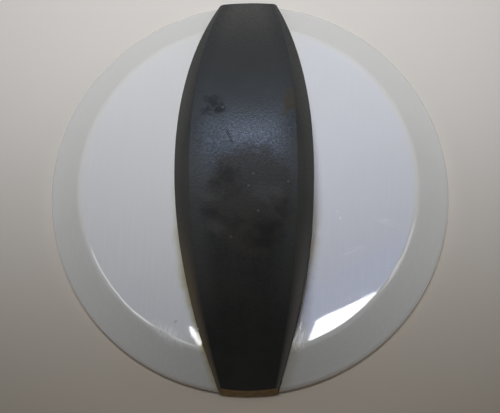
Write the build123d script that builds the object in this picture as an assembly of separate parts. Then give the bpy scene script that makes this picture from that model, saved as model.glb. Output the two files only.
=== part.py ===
from build123d import *
import os
from math import atan2, hypot, radians, tan

# Timer knob: a white dish-shaped dial, a dark arched grip snapped onto it and a spring clip on its hub.
# The rim rests on the plane Z = 0, the shaft axis is Z and the grip runs along Y. Millimetres and degrees.

# Dial: rim wall, bevelled ring and flat face
rim_radius = 37.1
rim_height = 2.5
rim_lean = 5.0
rim_edge_break = 0.4
bevel_width = 6.2
face_height = 8.0
crease_radius = 1.5
dial_wall = 2.2
rib_thickness = 1.5
rib_height = 2.4
rib_angles = (45, 135, 225, 315)

# Grip: arched in side view, barrel-shaped in plan, with a shoulder band that fades out towards its ends
grip_height = 24.5
grip_mid_width = 24.0
grip_end_width = 9.9
grip_end_height = 3.6
grip_end_proud = 0.4
grip_end_lean = 10.0
grip_corner_radius = 1.4
grip_edge_radius = 0.4
grip_wall = 2.0
shoulder_width = 2.7
shoulder_drop = 2.8
shoulder_end_width = 0.45
lug_foot = 0.3

# Snap legs that hold the grip down on the dial
leg_offset = 19.0
leg_width = 7.0
leg_thickness = 1.6
hook_reach = 0.9
hook_height = 2.0
hook_land = 0.5

# Hub with a socket for a flatted shaft: a round guide at its mouth, a D section above
hub_radius = 5.6
hub_foot = 1.0
hub_end = 2.0
shaft_diameter = 6.35
shaft_flat = 4.76
shaft_gap = 0.05
guide_gap = 0.3
guide_length = 4.0
socket_depth = 13.0
mouth_chamfer = 0.5
slit_width = 1.0

# Spring clip: a split steel band in a groove around the hub's mouth
clip_thickness = 0.6
clip_lift = 0.9
clip_headroom = 1.2
clip_seat = 0.3
clip_opening = 3.0

# Clearances between the pieces
fit_gap = 0.12
clip_gap = 0.05

# Sizes that follow from the ones above
overrun = 1.0
rim_top_radius = rim_radius - rim_height * tan(radians(rim_lean))
face_radius = rim_radius - bevel_width
face_under = face_height - dial_wall
end_radius = rim_radius + grip_end_proud
lug_inner = rim_radius - dial_wall
shaft_radius = shaft_diameter / 2
socket_radius = shaft_radius + shaft_gap
guide_radius = shaft_radius + guide_gap
clip_foot = hub_foot + clip_lift
clip_top = face_under - clip_headroom


def block(x_range, y_range, z_range):
    """A box between the given limits."""
    sizes = [high - low for low, high in (x_range, y_range, z_range)]
    middles = [(high + low) / 2 for low, high in (x_range, y_range, z_range)]
    return Pos(*middles) * Box(*sizes)


def upright(radius, low, high):
    """A round bar about Z between two heights."""
    return Pos(0, 0, low) * Cylinder(radius, high - low, align=(Align.CENTER, Align.CENTER, Align.MIN))


def turned(outline):
    """The solid that a half outline, drawn in radius and height, sweeps about Z."""
    return revolve(Plane.XZ * outline, Axis.Z)


def dish_outline(gap=0.0):
    """Half outline of the dial's outside, with the bevel and rim moved out by gap."""
    points = [
        (0, 0),
        (rim_radius + gap, 0),
        (rim_top_radius + gap, rim_height),
        (face_radius + gap, face_height),
        (0, face_height),
    ]
    return make_face(Polyline(*points, close=True))


def dish():
    """The dial's outside as a solid, with its rim edge and face crease softened."""
    outline = dish_outline()
    crease = outline.vertices().sort_by_distance((face_radius, face_height))[0]
    outline = fillet(crease, crease_radius)
    rim_edge = outline.vertices().sort_by_distance((rim_top_radius, rim_height))[0]
    return turned(chamfer(rim_edge, rim_edge_break))


def dish_hollow():
    """The space under the dial, one wall thickness inside its outside."""
    slope = atan2(face_height - rim_height, rim_top_radius - face_radius)
    points = [
        (0, -overrun),
        (lug_inner, -overrun),
        (lug_inner, rim_height - dial_wall * tan((radians(90) - slope) / 2)),
        (face_radius - dial_wall * tan(slope / 2), face_under),
        (0, face_under),
    ]
    return turned(make_face(Polyline(*points, close=True)))


def bowed(middle, end):
    """A parabola across the knob, at middle over the axis and at end over the grip's two ends."""
    reach = end_radius + overrun
    drop = (middle - end) * (reach / end_radius) ** 2
    return Bezier((-reach, middle - drop), (0, middle + drop), (reach, middle - drop))


def under(curve, floor):
    """The face between a bowed curve and a straight line at height floor."""
    start = curve @ 0
    finish = curve @ 1
    return make_face(curve + Polyline(finish, (finish.X, floor), (start.X, floor), start))


def barrel(inset):
    """The grip's two bowed sides seen from above, running past its ends, moved in by inset."""
    half = under(bowed(grip_mid_width / 2 - inset, grip_end_width / 2 - inset), 0)
    return Rot(0, 0, 90) * half + Rot(0, 0, -90) * half


def grip_plan(gap):
    """The grip's whole outline seen from above, with round corners, moved out by gap."""
    outline = barrel(-gap) & Circle(end_radius + gap)
    corners = outline.vertices().filter_by(lambda corner: abs(corner.X) > grip_corner_radius)
    return fillet(corners, grip_corner_radius + gap)


def shoulder(inset):
    """The space under one shoulder band, a bowed surface that leans out over the grip's side."""
    slant = hypot(shoulder_drop, shoulder_width)
    out, up = shoulder_drop / slant, shoulder_width / slant
    middle = out * (grip_mid_width / 2 - shoulder_width) + up * grip_height
    end = out * (grip_end_width / 2 - shoulder_end_width) + up * grip_end_height
    band_plane = Plane(origin=(0, 0, 0), x_dir=(0, 1, 0), z_dir=(up, 0, -out))
    profile = under(bowed(middle - inset, end - inset), -end_radius)
    return extrude(band_plane.offset(-2 * end_radius) * profile, amount=4 * end_radius)


def bar(inset=0.0):
    """The arched bar that the grip is cut from, running past its ends, with every face moved in by inset."""
    sides = extrude(barrel(inset), amount=grip_height)
    arch = under(bowed(grip_height - inset, grip_end_height - inset), -overrun)
    arch = extrude(Plane.YZ.offset(-grip_mid_width) * arch, amount=2 * grip_mid_width)
    band = shoulder(inset)
    return sides & arch & band & mirror(band, Plane.YZ)


def soft_bar():
    """The grip's outside down to the rest plane, with its long edges rounded and its ends leaning in."""
    form = bar()
    long_edges = form.edges().filter_by(lambda edge: edge.length > 2 * end_radius)
    raised_edges = long_edges.filter_by(lambda edge: edge.center().Z > face_height)
    form = fillet(raised_edges, grip_edge_radius)
    lean = grip_height * tan(radians(grip_end_lean))
    ends = Cone(end_radius, end_radius - lean, grip_height, align=(Align.CENTER, Align.CENTER, Align.MIN))
    return form & extrude(grip_plan(fit_gap / 2), amount=grip_height) & ends


def leg(side):
    """One snap leg of the grip with its hook, below the cross wall that carries it."""
    near = leg_offset - leg_thickness / 2
    far = leg_offset + leg_thickness / 2
    hook_top = face_under - fit_gap
    hook_foot = hook_top - hook_height
    cross_wall = block((-grip_mid_width, grip_mid_width), (near, far), (face_height, grip_height))
    cross_wall = cross_wall & bar(grip_wall / 2)
    stem = block((-leg_width / 2, leg_width / 2), (near, far), (hook_foot, face_height + leg_thickness))
    hook = Polyline(
        (far, hook_top),
        (far + hook_reach, hook_top),
        (far + hook_reach, hook_top - hook_land),
        (far, hook_foot),
        close=True,
    )
    hook = extrude(Plane.YZ.offset(-leg_width / 2) * make_face(hook), amount=leg_width)
    whole = cross_wall + stem + hook
    return whole if side > 0 else mirror(whole, Plane.XZ)


def grip():
    """The hollow arched cap, its end lugs through the rim and its two snap legs."""
    wide = (-grip_mid_width, grip_mid_width)
    middle = block(wide, (-lug_inner, lug_inner), (-overrun, face_height))
    seat = turned(dish_outline(fit_gap)) & middle
    floor = block(wide, (-2 * end_radius, 2 * end_radius), (-overrun, lug_foot))
    inner_reach = lug_inner - grip_wall
    hollow = bar(grip_wall) & block(wide, (-inner_reach, inner_reach), (-overrun, grip_height))
    return soft_bar() - hollow - seat - floor + leg(1) + leg(-1)


def hub():
    """The hub's outside, with the clip's groove around its mouth."""
    top = hub_foot + socket_depth + hub_end
    groove = upright(hub_radius + overrun, clip_foot - clip_gap, clip_top + clip_gap)
    groove = groove - upright(hub_radius - clip_seat, hub_foot, top)
    return upright(hub_radius, hub_foot, top) - groove


def socket():
    """The space that the shaft takes: a chamfered round guide, a D section and the guide's slit."""
    socket_top = hub_foot + socket_depth
    guide = upright(guide_radius, hub_foot, hub_foot + guide_length)
    flat_x = shaft_flat - shaft_radius + shaft_gap
    keyed = block((-socket_radius, flat_x), (-socket_radius, socket_radius), (hub_foot, socket_top))
    keyed = keyed & upright(socket_radius, hub_foot, socket_top)
    mouth = Pos(0, 0, hub_foot) * Cone(
        guide_radius + mouth_chamfer, guide_radius, mouth_chamfer,
        align=(Align.CENTER, Align.CENTER, Align.MIN),
    )
    slit = block((-hub_radius - overrun, 0), (-slit_width / 2, slit_width / 2), (hub_foot, face_under))
    return guide + keyed + mouth + slit


def rib(angle):
    """One stiffening rib under the face, from beside the clip out to the rim."""
    start = hub_radius + clip_thickness + rib_thickness
    half = rib_thickness / 2
    arm = block((start, rim_radius), (-half, half), (face_under - rib_height, face_height))
    return Rot(0, 0, angle) * arm & dish()


def leg_slot(side):
    """The slot in the face that one snap leg passes through, with room for it to bend inwards."""
    near = leg_offset - leg_thickness / 2 - hook_reach - fit_gap
    far = leg_offset + leg_thickness / 2 + fit_gap
    half_width = leg_width / 2 + fit_gap
    slot = block((-half_width, half_width), (near, far), (0, face_height + overrun))
    return slot if side > 0 else mirror(slot, Plane.XZ)


def lug_notch(side):
    """The notch in the rim and bevel that one end lug of the grip fills."""
    notch = Pos(0, 0, -overrun) * extrude(grip_plan(fit_gap), amount=2 * overrun + face_height)
    far = 2 * end_radius
    notch = notch & block((-far, far), (lug_inner - fit_gap, far), (-overrun, face_height))
    return notch if side > 0 else mirror(notch, Plane.XZ)


def dial():
    """The dish, its ribs and its hub, cut for the grip's legs and lugs and for the shaft."""
    body = dish() - dish_hollow()
    for angle in rib_angles:
        body += rib(angle)
    body = body + hub() - socket()
    for side in (1, -1):
        body = body - leg_slot(side) - lug_notch(side)
    return body


def stem_clip():
    """The split spring band in the hub's groove, open over the hub's slit."""
    inner = hub_radius - clip_seat + clip_gap
    band = upright(inner + clip_thickness, clip_foot, clip_top) - upright(inner, clip_foot, clip_top)
    half = clip_opening / 2
    opening = block((-2 * hub_radius, 0), (-half, half), (clip_foot, clip_top))
    return band - opening


pieces = {"dial": dial, "grip": grip, "stem_clip": stem_clip}

os.makedirs("parts", exist_ok=True)
for name, make in pieces.items():
    export_step(make(), f"parts/{name}.step")
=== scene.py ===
from math import pi, radians

import bpy
from mathutils import Matrix, Vector


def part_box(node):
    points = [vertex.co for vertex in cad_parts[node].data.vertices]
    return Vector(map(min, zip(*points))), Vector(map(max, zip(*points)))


# Timer knob, dressed: glossy white dial, charcoal grip with handling marks and a brushed steel clip.
# Materials are written in millimetres in the part's frame, and lights and camera in metres.
# The front of the part is towards -Y, the bottom of the picture, and left and right are along X.

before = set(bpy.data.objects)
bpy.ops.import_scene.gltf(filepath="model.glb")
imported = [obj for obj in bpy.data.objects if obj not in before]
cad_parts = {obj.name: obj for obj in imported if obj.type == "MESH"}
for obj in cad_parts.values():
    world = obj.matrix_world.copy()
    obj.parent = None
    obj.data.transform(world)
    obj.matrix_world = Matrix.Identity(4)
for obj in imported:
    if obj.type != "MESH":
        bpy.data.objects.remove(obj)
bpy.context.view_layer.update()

MM_PER_METRE = 1000

# The grip seen from above: its half length, and its half widths over the axis and at its ends,
# along its outside and along the ridges of its top
GRIP_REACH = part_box("grip")[1][1] * MM_PER_METRE
GRIP_HALF_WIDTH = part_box("grip")[1][0] * MM_PER_METRE
GRIP_END_HALF_WIDTH = 4.95
RIDGE_HALF_WIDTH = 9.3
RIDGE_END_HALF_WIDTH = 4.5

# Colours, linear
WHITE = (0.790, 0.790, 0.788, 1)
AGED_WHITE = (0.760, 0.755, 0.735, 1)
# SHADED_BEVEL_WHITE: painted shade, the white a little darker on the sloped bevel
SHADED_BEVEL_WHITE = (0.725, 0.727, 0.728, 1)
# FOOT_SHADE_YELLOW and FOOT_SHADE_GREY: painted shade along the grip's foot, yellowish on the left, grey on
# the right
FOOT_SHADE_YELLOW = (0.460, 0.400, 0.090, 1)
FOOT_SHADE_GREY = (0.430, 0.375, 0.240, 1)
# RIM_SHADE_BROWN: painted shade with warm bounce light, low on the rim
RIM_SHADE_BROWN = (0.520, 0.350, 0.200, 1)
SCRATCH_WHITE = (0.960, 0.965, 0.980, 1)
SPECK_GREY = (0.330, 0.310, 0.290, 1)
CHARCOAL = (0.022, 0.023, 0.021, 1)
CHARCOAL_PALE = (0.029, 0.030, 0.027, 1)
# CHARCOAL_LIT: painted light, for the sheen towards the ridges, the lighter bands and the pale wisps
CHARCOAL_LIT = (0.066, 0.065, 0.061, 1)
# BAND_LIT_BROWN and BAND_LIT_GREY: painted light on the slanted bands towards the front, brown on the left,
# grey on the right
BAND_LIT_BROWN = (0.145, 0.115, 0.076, 1)
BAND_LIT_GREY = (0.112, 0.107, 0.106, 1)
# END_BOUNCE_BROWN: painted warm bounce light from the floor, on the grip's front end
END_BOUNCE_BROWN = (0.500, 0.320, 0.130, 1)
GRIME_BROWN = (0.038, 0.033, 0.025, 1)
# SMUDGE_AND_SHADE_DARK: the dark of the smudges and the scratch, and painted shade at the grip's back
SMUDGE_AND_SHADE_DARK = (0.010, 0.009, 0.009, 1)
RUST = (0.055, 0.043, 0.024, 1)
SPECK_PALE = (0.085, 0.088, 0.088, 1)
STEEL = (0.550, 0.550, 0.560, 1)
STEEL_DULL = (0.360, 0.350, 0.340, 1)
FLOOR = (0.735, 0.710, 0.685, 1)
# FLOOR_SHADED: painted shade, the card darker and warmer towards the front
FLOOR_SHADED = (0.600, 0.530, 0.440, 1)
ROOM = (1.0, 0.98, 0.96, 1)

# Refraction of the two plastics and roughness of the card
DIAL_IOR = 1.52
GRIP_IOR = 1.58
FLOOR_ROUGHNESS = 0.85

# Noise spreads to both sides of this value
NOISE_MIDDLE = 0.5

# A patch ends at this share of its half size, where it wanders, and it reaches through any height
PATCH_END = 1.1
PATCH_WANDER = 4
ANY_HEIGHT = 1000

# Scratches lie where drawn-out noise passes these values, less their cover
STREAK_START = 0.72
STREAK_FULL = 0.80

# A speck is full within this share of its radius, and its choice among the cells is this sharp
SPECK_CORE = 0.6
SPECK_CHOICE = 0.02

# Marks and painted sheen on the grip's top: place, half size, turn in degrees, raggedness, blotch size and
# strength
GRIP_SMUDGES = (
    ((-5.4, 11.6), (1.8, 1.8), 0, 0.5, 1.3, 0.60),
    ((-4.2, 10.1), (1.6, 1.6), 0, 0.5, 1.0, 0.70),
    ((-6.2, 9.8), (1.6, 1.3), 0, 0.5, 1.0, 0.55),
    ((-2.7, -3.1), (3.4, 3.2), 0, 0.5, 2.4, 0.40),
    ((-5.4, -8.4), (3.4, 1.0), -18, 0.5, 1.6, 0.40),
    ((-1.7, -10.3), (2.4, 1.8), 0, 0.5, 1.8, 0.40),
    ((3.7, -11.6), (4.0, 3.6), 25, 0.4, 3.0, 0.60),
    ((6.9, -8.0), (1.8, 2.2), 0, 0.5, 1.8, 0.40),
)
# GRIP_SHEEN_WISPS are painted sheen: pale wisps on the grip's top
GRIP_SHEEN_WISPS = (
    ((-6.5, -2.4), (2.0, 2.4), 0, 0.5, 1.8, 0.40),
    ((-6.2, -5.7), (2.2, 1.3), -15, 0.5, 1.6, 0.60),
    ((-4.9, -11.0), (2.4, 1.5), -25, 0.5, 1.6, 0.60),
    ((4.2, -5.0), (3.8, 2.2), 10, 0.5, 1.8, 0.50),
)
MARK_CORE = 0.1

# Pale specks on the grip's top, as places on the plan
GRIP_SPECK_HALF_SIZE = (0.30, 0.26)
GRIP_SPECKS = (
    (-5.0, 0.0), (2.5, 1.7), (1.7, -2.0), (0.9, -4.0), (7.6, -3.4), (2.5, -8.2),
    (-0.5, 5.7), (4.0, 7.0), (6.0, 2.0), (-3.6, 10.3), (-2.2, -12.4),
)

# Colours of the lights
NEUTRAL = (1.0, 1.0, 1.0)
LAMP_WHITE = (0.95, 0.97, 1.0)
COOL = (0.56, 0.70, 1.0)
PALE_COOL = (0.75, 0.85, 1.0)
SKY = (0.30, 0.45, 1.0)
DEEP_SKY = (0.15, 0.35, 1.0)
GLOW_BLUE = (0.10, 0.25, 1.0)

# Studio: half the floor's width, the room's light, the heights of the dial's lamps and the glints' radiance
FLOOR_HALF = 1.2
ROOM_STRENGTH = 0.030
LAMP_HEIGHT = 0.6
CEILING_HEIGHT = 0.9
GLARE = 24

# Camera: focal length in millimetres, place in metres and turn in degrees
LENS = 95.5
EYE = (0.0102, -0.0584, 0.2414)
EYE_TURN = (13.14, 2.4, -0.04)


def node(tree, kind, inputs=None, **settings):
    """A shader node with its settings made and its inputs set, or linked where the value is a socket."""
    made = tree.nodes.new(kind)
    for name, value in settings.items():
        setattr(made, name, value)
    for name, value in (inputs or {}).items():
        if isinstance(value, bpy.types.NodeSocket):
            tree.links.new(value, made.inputs[name])
        else:
            made.inputs[name].default_value = value
    return made


def maths(tree, operation, first, second=0.0):
    """The result of one sum on two numbers or sockets."""
    return node(tree, "ShaderNodeMath", {0: first, 1: second}, operation=operation).outputs[0]


def fold(tree, operation, values):
    """One kind of sum carried on over several numbers or sockets."""
    result = values[0]
    for value in values[1:]:
        result = maths(tree, operation, result, value)
    return result


def plus(tree, *values):
    """Several values added."""
    return fold(tree, "ADD", values)


def minus(tree, first, second):
    """The first value less the second."""
    return maths(tree, "SUBTRACT", first, second)


def times(tree, *values):
    """Masks and strengths multiplied."""
    return fold(tree, "MULTIPLY", values)


def either(tree, *masks):
    """The strongest of several masks."""
    return fold(tree, "MAXIMUM", masks)


def ramp(tree, value, low, high, start=0.0, end=1.0):
    """A smooth step from start to end as the value goes from low to high."""
    limits = {"Value": value, "From Min": low, "From Max": high, "To Min": start, "To Max": end}
    return node(tree, "ShaderNodeMapRange", limits, interpolation_type="SMOOTHSTEP").outputs["Result"]


def tint(tree, factor, under, over):
    """A colour that goes from under to over with the factor."""
    colours = {"Fac": factor, "Color1": under, "Color2": over}
    return node(tree, "ShaderNodeMixRGB", colours).outputs["Color"]


def layered(tree, colour, layers):
    """A colour with others laid over it in turn, each through its mask."""
    for mask, over in layers:
        colour = tint(tree, mask, colour, over)
    return colour


def millimetres(tree):
    """The place on the part in millimetres."""
    place = node(tree, "ShaderNodeTexCoord").outputs["Object"]
    scaled = node(tree, "ShaderNodeVectorMath", {0: place, "Scale": MM_PER_METRE}, operation="SCALE")
    return scaled.outputs["Vector"]


def axes(tree, vector):
    """The three sockets of a vector, by axis."""
    return node(tree, "ShaderNodeSeparateXYZ", {"Vector": vector}).outputs


def surface_facing(tree):
    """The three sockets of the way that the surface faces, by axis."""
    return axes(tree, node(tree, "ShaderNodeNewGeometry").outputs["Normal"])


def turned(tree, place, angle=0.0, size=(1, 1, 1), centre=(0, 0, 0)):
    """The place seen from a centre, turned about Z and divided by a size along each axis."""
    settings = {"Vector": place, "Location": centre, "Rotation": (0, 0, radians(angle)), "Scale": size}
    return node(tree, "ShaderNodeMapping", settings, vector_type="TEXTURE").outputs["Vector"]


def noise(tree, place, size, detail=3.0, roughness=0.55, stretch=(1, 1, 1)):
    """Soft noise whose blotches are about one size across, longer along an axis with a larger stretch."""
    place = turned(tree, place, size=stretch)
    settings = {"Vector": place, "Scale": 1 / size, "Detail": detail, "Roughness": roughness}
    return node(tree, "ShaderNodeTexNoise", settings).outputs["Fac"]


def patch(tree, place, centre, half_size, angle=0.0, ragged=0.35, blotch=1.5, core=0.35):
    """A ragged oval mask on the plan, 1 in its core and 0 outside."""
    flat = turned(tree, place, angle, (*half_size, ANY_HEIGHT), (*centre, 0))
    reach = node(tree, "ShaderNodeVectorMath", {0: flat}, operation="LENGTH").outputs["Value"]
    uneven = minus(tree, noise(tree, place, blotch), NOISE_MIDDLE)
    edge = plus(tree, reach, times(tree, uneven, PATCH_WANDER * ragged))
    return ramp(tree, edge, PATCH_END, core)


def patches(tree, place, rows):
    """The strongest of several ragged ovals, each from a row of its sizes and its strength."""
    masks = []
    for centre, half_size, angle, ragged, blotch, strength in rows:
        oval = patch(tree, place, centre, half_size, angle, ragged, blotch, MARK_CORE)
        masks.append(times(tree, oval, strength))
    return either(tree, *masks)


def drawn_out(tree, place, angle, thickness, length):
    """Noise drawn out into fine straight lines at an angle to X."""
    along = turned(tree, place, angle)
    stretch = (length, thickness, thickness)
    return noise(tree, along, size=1.0, detail=2.0, roughness=0.6, stretch=stretch)


def streaks(tree, place, angle, thickness, length, cover):
    """Fine straight scratches at an angle to X, more of them with more cover."""
    lines = drawn_out(tree, place, angle, thickness, length)
    return ramp(tree, lines, STREAK_START - cover, STREAK_FULL - cover)


def specks(tree, place, spacing, radius, share):
    """Small round specks, one in some of the cells of a loose grid."""
    cells = node(tree, "ShaderNodeTexVoronoi", {"Vector": place, "Scale": 1 / spacing})
    dot = ramp(tree, cells.outputs["Distance"], radius / spacing, SPECK_CORE * radius / spacing)
    pick = node(tree, "ShaderNodeSeparateColor", {"Color": cells.outputs["Color"]}).outputs[0]
    return times(tree, dot, ramp(tree, pick, share, share - SPECK_CHOICE))


def bump(tree, height, strength, depth):
    """A bump from a height, depth millimetres deep at full strength."""
    settings = {"Height": height, "Strength": strength, "Distance": depth / MM_PER_METRE}
    return node(tree, "ShaderNodeBump", settings).outputs["Normal"]


def bowed(tree, along, middle, end):
    """A parabola along the grip, at middle over the axis and at end over the grip's two ends."""
    share = maths(tree, "DIVIDE", along, GRIP_REACH)
    return plus(tree, times(tree, share, share, end - middle), middle)


def new_material(name):
    """A node material with its shader, ready to be filled in."""
    material = bpy.data.materials.new(name)
    material.use_nodes = True
    return material, material.node_tree, material.node_tree.nodes["Principled BSDF"]


def rim_shade(tree, place):
    """Painted shade with warm bounce light low on the rim, thicker in some places."""
    blotches = ramp(tree, noise(tree, place, 3.0), 0.35, 0.65, 0.6, 1.0)
    return times(tree, blotches, ramp(tree, axes(tree, place)["Z"], 1.9, 0.4))


def foot_shade(tree, place, side, reach, front_reach):
    """Painted shade on the dial along one side of the grip's foot, within a reach that changes at the
    front.
    """
    parts = axes(tree, place)
    out = times(tree, parts["X"], side)
    foot = bowed(tree, parts["Y"], GRIP_HALF_WIDTH, GRIP_END_HALF_WIDTH)
    uneven = ramp(tree, noise(tree, place, 3.0), 0.3, 0.7, -0.2, 0.2)
    reach = ramp(tree, parts["Y"], -26.0, -17.0, front_reach, reach)
    near = ramp(tree, plus(tree, minus(tree, out, foot), uneven), reach, 0.0)
    fading_back = ramp(tree, parts["Y"], 8.0, -14.0, 0.1, 1.0)
    fading_front = ramp(tree, parts["Y"], -33.0, -27.0, 0.6, 1.0)
    one_side = ramp(tree, out, 0.0, 1.0)
    outside = ramp(tree, surface_facing(tree)["Z"], 0.1, 0.3)
    return times(tree, near, fading_back, fading_front, one_side, outside)


def face_rubs(tree, place):
    """Close scratches on the dial's front crease, left and right of the grip."""
    left = streaks(tree, place, angle=76, thickness=0.19, length=5.0, cover=0.27)
    right = streaks(tree, place, angle=74, thickness=0.13, length=4.0, cover=0.24)
    return either(
        tree,
        times(tree, left, patch(tree, place, (-14.2, -26.8), (4.4, 1.7), angle=-33, ragged=0.2)),
        times(tree, right, patch(tree, place, (9.3, -28.3), (1.3, 2.6), angle=-12, ragged=0.2)),
    )


def face_scratches(tree, place):
    """Sparse long scratches over the whole dial, most of them along the grip."""
    wiped = streaks(tree, place, angle=85, thickness=0.12, length=14.0, cover=0.07)
    crossed = streaks(tree, place, angle=28, thickness=0.08, length=11.0, cover=0.06)
    return either(tree, times(tree, wiped, 0.5), times(tree, crossed, 0.4))


def face_brushing(tree, place):
    """Faint close lines along the grip, clearer towards the front."""
    lines = drawn_out(tree, place, angle=86, thickness=0.5, length=9.0)
    front = ramp(tree, axes(tree, place)["Y"], 2.0, -16.0, 0.35, 1.0)
    return times(tree, ramp(tree, lines, 0.4, 0.7, 0.0, 0.10), front)


def face_scuffs(tree, place):
    """Two faint rubbed lines and a short mark on the dial's face, right of the grip."""
    upper = patch(tree, place, (25.0, -6.9), (2.9, 0.9), angle=-14, ragged=0.3, blotch=1.0)
    lower = patch(tree, place, (19.1, -12.2), (2.8, 0.9), angle=16, ragged=0.3, blotch=1.0)
    return either(
        tree,
        times(tree, upper, streaks(tree, place, angle=-14, thickness=0.2, length=3.0, cover=0.22)),
        times(tree, lower, streaks(tree, place, angle=16, thickness=0.2, length=3.0, cover=0.22)),
        patch(tree, place, (16.2, -4.9), (0.15, 0.45), angle=30, ragged=0.1),
    )


def face_dots(tree, place):
    """One dark speck left of the grip's front, and small grey ones here and there."""
    dark = patch(tree, place, (-12.8, -24.7), (0.42, 0.30), angle=30, ragged=0.15, blotch=0.5, core=0.1)
    small = specks(tree, place, spacing=5.0, radius=0.12, share=0.16)
    return either(tree, times(tree, dark, 0.7), times(tree, small, 0.35))


def dial_marks(tree, place):
    """The masks of the dial's painted shade and of the marks that also change its gloss or relief, by name.
    """
    rubs = face_rubs(tree, place)
    return {
        "rubs": rubs,
        "scratches": either(tree, rubs, face_scratches(tree, place)),
        "pale_speck": patch(tree, place, (16.7, -6.1), (0.22, 0.30), angle=20, ragged=0.1),
        "rim_shade": rim_shade(tree, place),
        "yellow_foot_shade": times(tree, foot_shade(tree, place, side=-1, reach=2.4, front_reach=1.5), 0.9),
        "grey_foot_shade": times(tree, foot_shade(tree, place, side=1, reach=2.0, front_reach=3.0), 0.7),
    }


def dial_colour(tree, place, marks):
    """White, aged in blotches, with painted shade on the bevel, low on the rim and along the grip's foot,
    and the marks laid over it.
    """
    aged = ramp(tree, noise(tree, place, 22.0), 0.35, 0.75, 0.0, 0.6)
    # The bevel is painted a little darker than the face: painted shade on its slope
    bevel = ramp(tree, surface_facing(tree)["Z"], 0.97, 0.80)
    layers = (
        (bevel, SHADED_BEVEL_WHITE),
        (face_brushing(tree, place), SCRATCH_WHITE),
        # Painted shade along the grip's foot, yellowish on the left and grey on the right
        (marks["yellow_foot_shade"], FOOT_SHADE_YELLOW),
        (marks["grey_foot_shade"], FOOT_SHADE_GREY),
        # Painted shade with warm bounce light low on the rim
        (times(tree, marks["rim_shade"], 0.85), RIM_SHADE_BROWN),
        (either(tree, marks["rubs"], times(tree, marks["scratches"], 0.5)), SCRATCH_WHITE),
        (times(tree, face_scuffs(tree, place), 0.45), SCRATCH_WHITE),
        (marks["pale_speck"], SCRATCH_WHITE),
        (face_dots(tree, place), SPECK_GREY),
    )
    return layered(tree, tint(tree, aged, WHITE, AGED_WHITE), layers)


def dial_roughness(tree, place, marks):
    """Polished, but dull where it is scratched, low on the rim and beside the grip's right foot."""
    polish = ramp(tree, noise(tree, place, 9.0, detail=4.0), 0.3, 0.75, 0.015, 0.035)
    behind_glint = ramp(tree, axes(tree, place)["Y"], -19.0, -12.0, 0.0, 0.5)
    return plus(
        tree,
        polish,
        times(tree, marks["scratches"], 0.12),
        times(tree, marks["rim_shade"], 0.25),
        times(tree, marks["grey_foot_shade"], behind_glint),
    )


def dial_relief(tree, place, marks):
    """Slight ripples, sunk scratches and the raised speck."""
    ripple = noise(tree, place, 2.6, detail=2.0)
    return plus(
        tree,
        times(tree, ripple, 0.25),
        times(tree, marks["scratches"], -0.4),
        times(tree, marks["rubs"], -2.5),
        times(tree, marks["pale_speck"], 2.0),
    )


def dial_material():
    """Glossy white moulded plastic, a little aged, with fine scratches and specks, and painted shade on the
    bevel, low on the rim and along the grip's foot.
    """
    material, tree, shader = new_material("dial_white_plastic")
    place = millimetres(tree)
    marks = dial_marks(tree, place)
    relief = bump(tree, dial_relief(tree, place, marks), strength=0.12, depth=0.03)
    tree.links.new(dial_colour(tree, place, marks), shader.inputs["Base Color"])
    tree.links.new(dial_roughness(tree, place, marks), shader.inputs["Roughness"])
    tree.links.new(relief, shader.inputs["Normal"])
    shader.inputs["IOR"].default_value = DIAL_IOR
    return material


def grip_dust(tree, place):
    """Pale dust on the grip: a fine scatter, and larger specks on its top."""
    dust = times(tree, specks(tree, place, spacing=0.9, radius=0.13, share=0.25), 0.35)
    for speck in GRIP_SPECKS:
        spot = patch(tree, place, speck, GRIP_SPECK_HALF_SIZE, ragged=0.1, blotch=0.5, core=MARK_CORE)
        dust = either(tree, dust, spot)
    return dust


def grip_rust(tree, place):
    """A brown stain beside the right ridge of the grip's top."""
    stain = patch(tree, place, (7.8, 11.3), (1.5, 3.0), angle=-8, ragged=0.5, blotch=1.2, core=0.0)
    return times(tree, stain, 0.8)


def grip_marks(tree, place):
    """The masks of the grip's grain and of the marks of hands on it, by name."""
    return {
        "grain": noise(tree, place, 0.4, detail=2.0, roughness=0.65),
        "rubbed": patch(tree, place, (1.3, 6.8), (7.2, 7.6), ragged=0.15, blotch=2.5, core=0.15),
        "handled": patch(tree, place, (1.3, -6.0), (7.6, 9.5), ragged=0.12, blotch=2.2, core=0.8),
        "scratch": patch(tree, place, (-2.5, 5.0), (0.20, 2.3), angle=22, ragged=0.3, blotch=0.8, core=0.1),
        "smudges": patches(tree, place, GRIP_SMUDGES),
        "rust": grip_rust(tree, place),
        "dust": grip_dust(tree, place),
    }


def past_ridge(tree, parts):
    """How far out a place lies from the nearer ridge of the grip's top, below 0 on the top itself."""
    ridge = bowed(tree, parts["Y"], RIDGE_HALF_WIDTH, RIDGE_END_HALF_WIDTH)
    return minus(tree, maths(tree, "ABSOLUTE", parts["X"]), ridge)


def grip_bands(tree, parts, facing, beyond):
    """The grip's two slanted bands, from 0 on the ridge to 1 near the outer edge."""
    middle_width = GRIP_HALF_WIDTH - RIDGE_HALF_WIDTH
    end_width = GRIP_END_HALF_WIDTH - RIDGE_END_HALF_WIDTH
    width = bowed(tree, parts["Y"], middle_width, end_width)
    outward = ramp(tree, maths(tree, "DIVIDE", beyond, width), -0.1, 0.9)
    return times(tree, outward, ramp(tree, facing["Z"], 0.2, 0.4))


def ridge_sheen(tree, parts, beyond):
    """Painted sheen on the grip's top towards its ridges, more on the left, from the middle to the front.
    """
    outward = ramp(tree, beyond, -4.5, -0.8, 0.12, 0.55)
    left = ramp(tree, parts["X"], 3.0, -3.0, 0.6, 1.0)
    from_middle = ramp(tree, parts["Y"], 8.0, 0.0)
    to_front = ramp(tree, parts["Y"], -27.0, -17.0)
    return times(tree, outward, left, from_middle, to_front)


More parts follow.
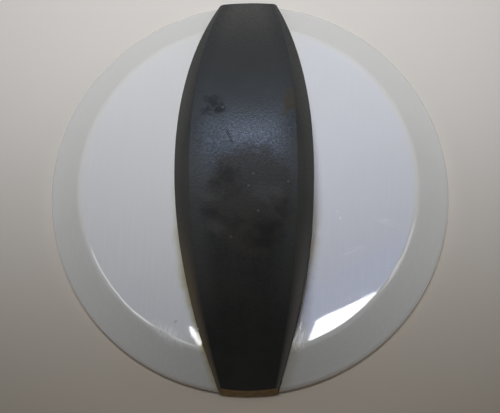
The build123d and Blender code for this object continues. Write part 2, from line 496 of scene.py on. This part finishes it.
def front_end_bounce(tree, place, facing):
    """The grip's front end face, with blotches, where warm bounce light from the floor is painted."""
    blotches = ramp(tree, noise(tree, place, 1.6), 0.3, 0.6, 0.55, 1.0)
    return times(tree, ramp(tree, facing["Y"], -0.85, -0.95), blotches)


def grip_colour(tree, place, facing, beyond, marks):
    """Mottled charcoal with its marks, painted shade at the back, painted light on bands, ridges and wisps,
    and bounce light on the brown front end.
    """
    parts = axes(tree, place)
    # Darker towards the back: painted shade
    back = ramp(tree, parts["Y"], 12.0, 28.0)
    front = ramp(tree, parts["Y"], -6.0, -22.0)
    # The slanted bands are painted lighter, more on the left: painted light thrown up from the white dial
    band_light = times(tree, grip_bands(tree, parts, facing, beyond), minus(tree, 1.0, back))
    pale_band = times(tree, band_light, ramp(tree, parts["X"], -3.0, 3.0, 0.9, 0.65))
    band_colour = tint(tree, ramp(tree, parts["X"], 1.0, -1.0), BAND_LIT_GREY, BAND_LIT_BROWN)
    cloud = noise(tree, place, 5.0, detail=4.0, roughness=0.6)
    mottled = plus(tree, times(tree, cloud, 0.5), times(tree, marks["grain"], 0.5))
    layers = (
        (times(tree, back, 0.55), SMUDGE_AND_SHADE_DARK),
        # Painted sheen towards the ridges and painted light on the bands
        (either(tree, ridge_sheen(tree, parts, beyond), pale_band), CHARCOAL_LIT),
        (times(tree, band_light, front), band_colour),
        # Warm brown on the front end face: painted bounce light
        (times(tree, front_end_bounce(tree, place, facing), 0.9), END_BOUNCE_BROWN),
        (times(tree, marks["handled"], 0.8), GRIME_BROWN),
        # Pale wisps: painted sheen
        (patches(tree, place, GRIP_SHEEN_WISPS), CHARCOAL_LIT),
        (marks["rust"], RUST),
        (either(tree, marks["smudges"], times(tree, marks["scratch"], 0.8)), SMUDGE_AND_SHADE_DARK),
        (marks["dust"], SPECK_PALE),
    )
    base = tint(tree, ramp(tree, mottled, 0.38, 0.62), CHARCOAL, CHARCOAL_PALE)
    return layered(tree, base, layers)


def grip_roughness(tree, facing, beyond, marks):
    """Smoother where hands rub the top, rougher on stains, along the ridges and on the sides."""
    grained = ramp(tree, marks["grain"], 0.3, 0.7, 0.40, 0.56)
    return plus(
        tree,
        grained,
        times(tree, marks["rubbed"], -0.12),
        times(tree, marks["handled"], 0.16),
        times(tree, either(tree, marks["smudges"], marks["rust"]), 0.25),
        ramp(tree, beyond, -3.4, -0.2, 0.0, 0.14),
        ramp(tree, facing["Z"], 0.5, 0.2, 0.0, 0.3),
    )


def grip_relief(tree, marks):
    """The grain, the sunk scratch and the raised dust."""
    return plus(tree, marks["grain"], times(tree, marks["scratch"], -0.8), times(tree, marks["dust"], 0.3))


def grip_material():
    """Charcoal moulded plastic with a fine grain, a rubbed sheen and the marks of hands."""
    material, tree, shader = new_material("grip_charcoal_plastic")
    place = millimetres(tree)
    facing = surface_facing(tree)
    beyond = past_ridge(tree, axes(tree, place))
    marks = grip_marks(tree, place)
    sheen = ramp(tree, marks["smudges"], 0.0, 1.0, 0.5, 0.25)
    relief = bump(tree, grip_relief(tree, marks), strength=0.8, depth=0.07)
    tree.links.new(grip_colour(tree, place, facing, beyond, marks), shader.inputs["Base Color"])
    tree.links.new(grip_roughness(tree, facing, beyond, marks), shader.inputs["Roughness"])
    tree.links.new(sheen, shader.inputs["Specular IOR Level"])
    tree.links.new(relief, shader.inputs["Normal"])
    shader.inputs["IOR"].default_value = GRIP_IOR
    return material


def clip_material():
    """Spring steel brushed around the band, with a dull film in places."""
    material, tree, shader = new_material("clip_brushed_steel")
    place = millimetres(tree)
    brushed = noise(tree, place, 0.12, detail=2.0, roughness=0.6, stretch=(30, 30, 1))
    film = ramp(tree, noise(tree, place, 2.5), 0.45, 0.7)
    gloss = plus(tree, ramp(tree, brushed, 0.3, 0.7, 0.22, 0.42), times(tree, film, 0.15))
    tree.links.new(tint(tree, film, STEEL, STEEL_DULL), shader.inputs["Base Color"])
    tree.links.new(gloss, shader.inputs["Roughness"])
    tree.links.new(bump(tree, brushed, strength=0.3, depth=0.02), shader.inputs["Normal"])
    shader.inputs["Metallic"].default_value = 1.0
    return material


def floor_material():
    """Plain pale matt card, painted darker and warmer towards the front as shade."""
    material, tree, shader = new_material("floor_card")
    place = millimetres(tree)
    fibre = noise(tree, place, 1.2, detail=4.0, roughness=0.7)
    # Darker and warmer towards the front: painted shade
    front = ramp(tree, axes(tree, place)["Y"], 20.0, -60.0)
    tree.links.new(tint(tree, front, FLOOR, FLOOR_SHADED), shader.inputs["Base Color"])
    tree.links.new(bump(tree, fibre, strength=0.1, depth=0.02), shader.inputs["Normal"])
    shader.inputs["Roughness"].default_value = FLOOR_ROUGHNESS
    return material


def dress(name, material):
    """Gives a CAD node its material in every slot."""
    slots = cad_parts[name].material_slots
    for slot in slots:
        slot.material = material


def floor(half):
    """The plane that the rim rests on."""
    mesh = bpy.data.meshes.new("floor")
    corners = [(-half, -half, 0), (half, -half, 0), (half, half, 0), (-half, half, 0)]
    mesh.from_pydata(corners, [], [(0, 1, 2, 3)])
    plane = bpy.data.objects.new("floor", mesh)
    bpy.context.collection.objects.link(plane)
    mesh.materials.append(floor_material())


def aim(thing, target):
    """Turns a light to shine at a point."""
    way = Vector(target) - thing.location
    thing.rotation_euler = way.to_track_quat("-Z", "Y").to_euler()


def light(name, kind, place, power, colour, target, in_gloss, **settings):
    """One studio light, which is either seen in the gloss of surfaces or lights their body colour."""
    data = bpy.data.lights.new(name, kind)
    data.energy = power
    data.color = colour
    for key, value in settings.items():
        setattr(data, key, value)
    made = bpy.data.objects.new(name, data)
    made.location = place
    aim(made, target)
    made.visible_glossy = in_gloss
    made.visible_diffuse = not in_gloss
    bpy.context.collection.objects.link(made)
    return made


def panel(name, on, place, target, size, radiance, colour, shape="RECTANGLE"):
    """A flat lamp seen in the gloss of one CAD node, as bright per area as its radiance."""
    fill = pi / 4 if shape == "ELLIPSE" else 1.0
    power = radiance * pi * size[0] * size[1] * fill
    sizes = {"shape": shape, "size": size[0], "size_y": size[1]}
    made = light(name, "AREA", place, power, colour, target, True, **sizes)
    seen_on = bpy.data.collections.new(name + "_seen_on")
    seen_on.objects.link(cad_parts[on])
    made.light_linking.receiver_collection = seen_on
    return made


def lamp(name, corner, along, down, radiance, colour, shape="RECTANGLE"):
    """A panel over the dial, from its far left corner and its edges to the right and to the front."""
    along = Vector(along)
    down = Vector(down)
    middle = Vector(corner) + (along + down) / 2
    made = panel(name, "dial", middle, (0, 0, 0), (along.length, down.length), radiance, colour, shape)
    turn = (along.normalized(), -down.normalized(), down.cross(along).normalized())
    made.rotation_euler = Matrix(turn).transposed().to_euler()


def room_light():
    """The dim even light of the room."""
    world = bpy.data.worlds.new("studio")
    bpy.context.scene.world = world
    world.use_nodes = True
    background = world.node_tree.nodes["Background"]
    background.inputs["Color"].default_value = ROOM
    background.inputs["Strength"].default_value = ROOM_STRENGTH


def body_lights():
    """A soft key from above that fades towards the front, and a fill from each side."""
    key_place = (0, 0.08, 0.50)
    key_target = (0, 0.08, 0)
    key_power = 7.95
    cone = {"spot_size": radians(32), "spot_blend": 1.0, "shadow_soft_size": 0.05}
    light("key", "SPOT", key_place, key_power, NEUTRAL, key_target, False, **cone)
    fill_target = (0, 0.02, 0)
    for name, x, power in (("west_fill", -0.6, 0.70), ("east_fill", 0.6, 0.78)):
        light(name, "AREA", (x, 0.12, 0.26), power, NEUTRAL, fill_target, False, size=0.4)


def grip_panels():
    """The panels behind the part that the grip's sheen mirrors."""
    crown = (0, 0, 0.024)
    panel("cool_panel", "grip", (-0.036, 0.412, 0.71), crown, (0.60, 0.155), 10.0, COOL)
    panel("north_panel", "grip", (0, 0.60, 0.34), crown, (0.90, 0.50), 0.5, PALE_COOL)


def ceiling_lamps():
    """The dim blue ceiling that the dial's face mirrors, stronger right of the grip."""
    front = (0, -0.30, 0)
    lamp("west_ceiling", (-0.19, 0.39, CEILING_HEIGHT), (0.20, 0, 0), front, 1.0, SKY)
    lamp("east_ceiling", (0.01, 0.39, CEILING_HEIGHT), (0.10, 0, 0), front, 2.0, DEEP_SKY)


def glint_lamps():
    """The lamps in the dial's two bright glints, with the blue glow around the right one."""
    slant = (-0.0081, -0.0170, 0.0345)
    lamp("ceiling_lamp", (0.017, 0.061, LAMP_HEIGHT), (0.064, 0.0346, 0.032), slant, GLARE, LAMP_WHITE)
    along = (0.0897, 0.0485, 0)
    lamp("near_glow", (-0.0005, 0.0618, LAMP_HEIGHT), along, (0.0138, -0.0255, 0), 0.9, GLOW_BLUE)
    lamp("far_glow", (-0.0057, 0.0715, LAMP_HEIGHT), along, (0.0190, -0.0352, 0), 0.8, GLOW_BLUE)
    leaf_width = (0.0028, 0.0016, 0)
    leaf_length = (0.0065, -0.0117, 0)
    leaf_corner = (-0.0631, 0.0565, LAMP_HEIGHT)
    lamp("side_lamp", leaf_corner, leaf_width, leaf_length, GLARE, LAMP_WHITE, "ELLIPSE")


def crease_lamps():
    """The lamps in the bright line along the dial's crease."""
    west_corner = (-0.375, 0.0, LAMP_HEIGHT)
    lamp("west_lamp", west_corner, (0.186, 0.072, 0), (0.086, -0.224, 0), 5.5, LAMP_WHITE)
    lamp("east_lamp", (0.34, 0.06, LAMP_HEIGHT), (0.36, 0, 0), (0, -0.24, 0), 3.5, LAMP_WHITE)
    lamp("south_lamp", (0.02, 0.015, LAMP_HEIGHT), (0.10, 0, 0), (0, -0.05, 0), 6.0, LAMP_WHITE)


def camera():
    """The photograph's viewpoint, from above and a little in front."""
    data = bpy.data.cameras.new("camera")
    data.lens = LENS
    eye = bpy.data.objects.new("camera", data)
    eye.location = EYE
    eye.rotation_euler = [radians(angle) for angle in EYE_TURN]
    bpy.context.collection.objects.link(eye)
    bpy.context.scene.camera = eye


dress("dial", dial_material())
dress("grip", grip_material())
dress("stem_clip", clip_material())
floor(FLOOR_HALF)
room_light()
body_lights()
grip_panels()
ceiling_lamps()
glint_lamps()
crease_lamps()
camera()
bpy.context.scene.view_settings.view_transform = "Standard"
